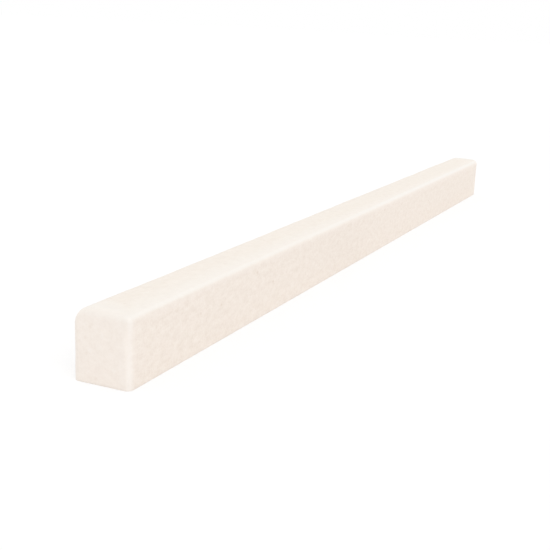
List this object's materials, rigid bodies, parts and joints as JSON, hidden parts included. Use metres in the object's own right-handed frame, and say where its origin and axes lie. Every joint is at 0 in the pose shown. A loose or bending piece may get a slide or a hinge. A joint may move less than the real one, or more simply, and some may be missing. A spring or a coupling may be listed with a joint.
{
  "type": "liner tile",
  "caption": "Slim honed stone bar with a flat sawn back and a slightly swelled front with rounded edges, set as a border or a dividing line in a tiled wall or floor.",
  "frame": {"origin": "middle of the flat sawn back, on which the loose bar lies", "axes": "+X along the bar's length, +Y across its width, +Z out of the wall, from the sawn back to the rounded front"},
  "size_m": [0.305, 0.0144, 0.0167],
  "materials": {
    "limestone": "honed matte cream limestone, finely mottled with small darker specks"
  },
  "bodies": {
    "root": {"liner_tile": "limestone"}
  },
  "joints": []
}
